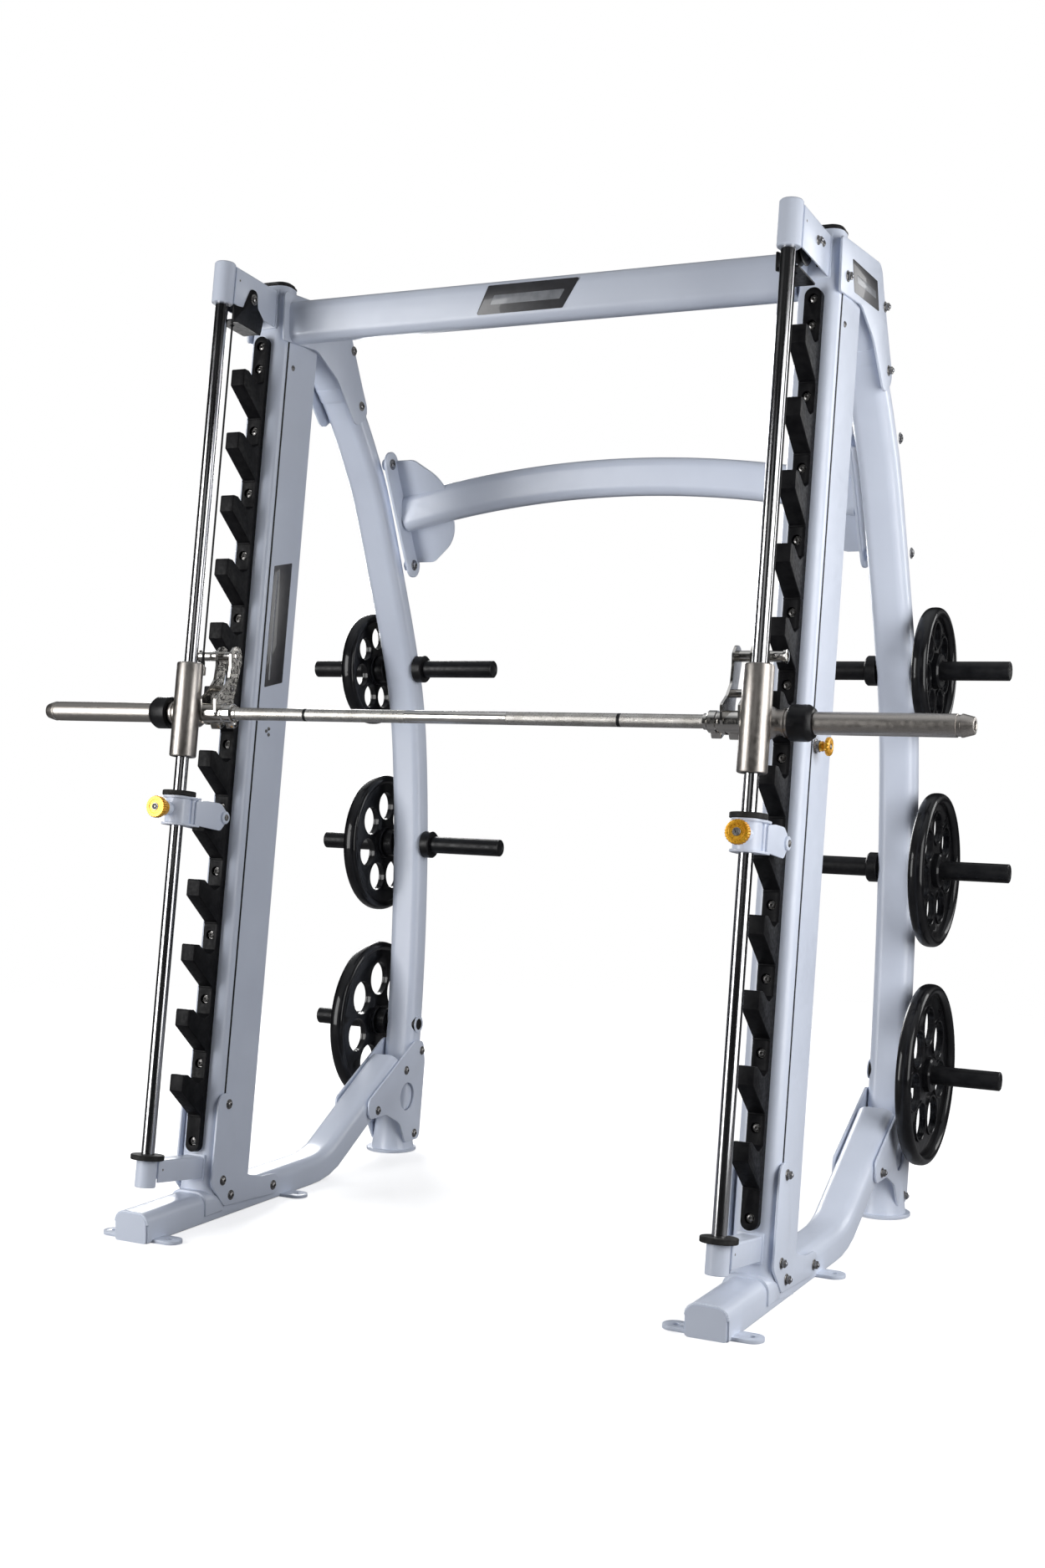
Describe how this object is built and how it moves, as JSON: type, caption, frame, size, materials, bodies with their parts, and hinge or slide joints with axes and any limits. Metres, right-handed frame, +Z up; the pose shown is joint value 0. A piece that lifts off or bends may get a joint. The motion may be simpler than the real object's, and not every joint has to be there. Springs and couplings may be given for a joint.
{
  "type": "smith machine",
  "caption": "Barbell on two carriages that slide up leaning guide rods, caught by hook racks, with counterweights, safety stops and plate storage pegs on curved rear posts.",
  "frame": {"origin": "middle of the footprint, on the floor", "axes": "+X across the machine to its right side as seen from the back, along the bar; +Y from the guide rods towards the rear posts; +Z up"},
  "size_m": [2.336, 1.54, 2.3594],
  "materials": {
    "powder_coat": "pale bluish-white powder coat, slightly orange-peeled",
    "rod_chrome": "polished hard chrome",
    "satin_nickel": "satin warm-grey nickel, lightly speckled, knurled on the bar",
    "black_cast": "black cast, matte",
    "black_plate": "glossy black enamel on cast iron",
    "black_steel": "black, satin",
    "rubber": "black rubber bumper",
    "amber_anodised": "orange-yellow anodised",
    "cast_weight": "raw cast iron",
    "cable_coat": "black coated wire cable"
  },
  "bodies": {
    "frame": {"base_left": "powder_coat", "post_left": "powder_coat", "gusset_base_left": "powder_coat", "gusset_top_left": "powder_coat", "gusset_rear_left": "powder_coat", "peg_top_left": "black_steel", "peg_middle_left": "black_steel", "peg_low_left": "black_steel", "upright_left": "powder_coat", "housing_left": "powder_coat", "rack_left": "black_cast", "guide_rod_left": "rod_chrome", "rod_collar_left": "rubber", "pulley_guard_left": "black_steel", "cable_left": "cable_coat", "base_right": "powder_coat", "post_right": "powder_coat", "gusset_base_right": "powder_coat", "gusset_top_right": "powder_coat", "gusset_rear_right": "powder_coat", "peg_top_right": "black_steel", "peg_middle_right": "black_steel", "peg_low_right": "black_steel", "upright_right": "powder_coat", "housing_right": "powder_coat", "rack_right": "black_cast", "guide_rod_right": "rod_chrome", "rod_collar_right": "rubber", "pulley_guard_right": "black_steel", "cable_right": "cable_coat", "top_crossbar": "powder_coat", "rear_crossbar": "powder_coat"},
    "carriage": {"carriage_left": "satin_nickel", "carriage_right": "satin_nickel"},
    "bar": {"bar_shaft": "satin_nickel", "sleeve_left": "satin_nickel", "sleeve_right": "satin_nickel", "bar_collar_left": "black_steel", "bar_collar_right": "black_steel", "latch_left": "satin_nickel", "latch_right": "satin_nickel"},
    "counterweight_left": {"counterweight_left": "cast_weight"},
    "pulley_left": {"pulley_left": "black_steel"},
    "stop_left": {"stop_bracket_left": "powder_coat", "stop_bumper_left": "rubber"},
    "stop_knob_left": {"stop_knob_left": "amber_anodised"},
    "weight_25_left": {"weight_25_left": "black_plate"},
    "weight_35_left": {"weight_35_left": "black_plate"},
    "weight_45_left": {"weight_45_left": "black_plate"},
    "counterweight_right": {"counterweight_right": "cast_weight"},
    "pulley_right": {"pulley_right": "black_steel"},
    "stop_right": {"stop_bracket_right": "powder_coat", "stop_bumper_right": "rubber"},
    "stop_knob_right": {"stop_knob_right": "amber_anodised"},
    "pop_knob_right": {"pop_knob_right": "amber_anodised"},
    "weight_25_right": {"weight_25_right": "black_plate"},
    "weight_35_right": {"weight_35_right": "black_plate"},
    "weight_45_right": {"weight_45_right": "black_plate"}
  },
  "joints": [
    {"name": "carriage_slide", "type": "slide", "parent": "frame", "child": "carriage", "axis": [0, 0.1271, 0.9919], "range_m": [-0.08, 0.8], "deforming": ["cable_left", "cable_right"]},
    {"name": "bar_turn", "type": "hinge", "parent": "carriage", "child": "bar", "pos_m": [0, -0.53483, 1.2523], "axis": [-1, 0, 0], "range_deg": [-2.5, 30]},
    {"name": "counterweight_slide_left", "type": "slide", "parent": "frame", "child": "counterweight_left", "axis": [0, 0.1271, 0.9919], "range_m": [-0.8, 0.08]},
    {"name": "pulley_turn_left", "type": "hinge", "parent": "frame", "child": "pulley_left", "pos_m": [-0.721, -0.34633, 2.28068], "axis": [1, 0, 0], "range_deg": [-1150, 150]},
    {"name": "stop_slide_left", "type": "slide", "parent": "frame", "child": "stop_left", "axis": [0, 0.1271, 0.9919], "range_m": [-0.636, 0]},
    {"name": "stop_knob_pull_left", "type": "slide", "parent": "stop_left", "child": "stop_knob_left", "axis": [0, -0.9919, 0.1271], "range_m": [0, 0.01], "stiffness_N_per_m": 800, "springref_m": -0.005},
    {"name": "weight_25_pull_left", "type": "slide", "parent": "frame", "child": "weight_25_left", "axis": [-1, 0, 0], "range_m": [0, 0.165]},
    {"name": "weight_35_pull_left", "type": "slide", "parent": "frame", "child": "weight_35_left", "axis": [-1, 0, 0], "range_m": [0, 0.165]},
    {"name": "weight_45_pull_left", "type": "slide", "parent": "frame", "child": "weight_45_left", "axis": [-1, 0, 0], "range_m": [0, 0.165]},
    {"name": "counterweight_slide_right", "type": "slide", "parent": "frame", "child": "counterweight_right", "axis": [0, 0.1271, 0.9919], "range_m": [-0.8, 0.08]},
    {"name": "pulley_turn_right", "type": "hinge", "parent": "frame", "child": "pulley_right", "pos_m": [0.721, -0.34633, 2.28068], "axis": [1, 0, 0], "range_deg": [-1150, 150]},
    {"name": "stop_slide_right", "type": "slide", "parent": "frame", "child": "stop_right", "axis": [0, 0.1271, 0.9919], "range_m": [-0.636, 0]},
    {"name": "stop_knob_pull_right", "type": "slide", "parent": "stop_right", "child": "stop_knob_right", "axis": [0, -0.9919, 0.1271], "range_m": [0, 0.01], "stiffness_N_per_m": 800, "springref_m": -0.005},
    {"name": "pop_knob_pull_right", "type": "slide", "parent": "frame", "child": "pop_knob_right", "axis": [1, 0, 0], "range_m": [0, 0.012], "stiffness_N_per_m": 800, "springref_m": -0.004},
    {"name": "weight_25_pull_right", "type": "slide", "parent": "frame", "child": "weight_25_right", "axis": [1, 0, 0], "range_m": [0, 0.165]},
    {"name": "weight_35_pull_right", "type": "slide", "parent": "frame", "child": "weight_35_right", "axis": [1, 0, 0], "range_m": [0, 0.165]},
    {"name": "weight_45_pull_right", "type": "slide", "parent": "frame", "child": "weight_45_right", "axis": [1, 0, 0], "range_m": [0, 0.165]}
  ],
  "couplings": [
    {"joint": "counterweight_slide_left", "follows": "carriage_slide", "ratio": -1},
    {"joint": "pulley_turn_left", "follows": "carriage_slide", "rad_per_m": -24.39},
    {"joint": "counterweight_slide_right", "follows": "carriage_slide", "ratio": -1},
    {"joint": "pulley_turn_right", "follows": "carriage_slide", "rad_per_m": -24.39}
  ]
}
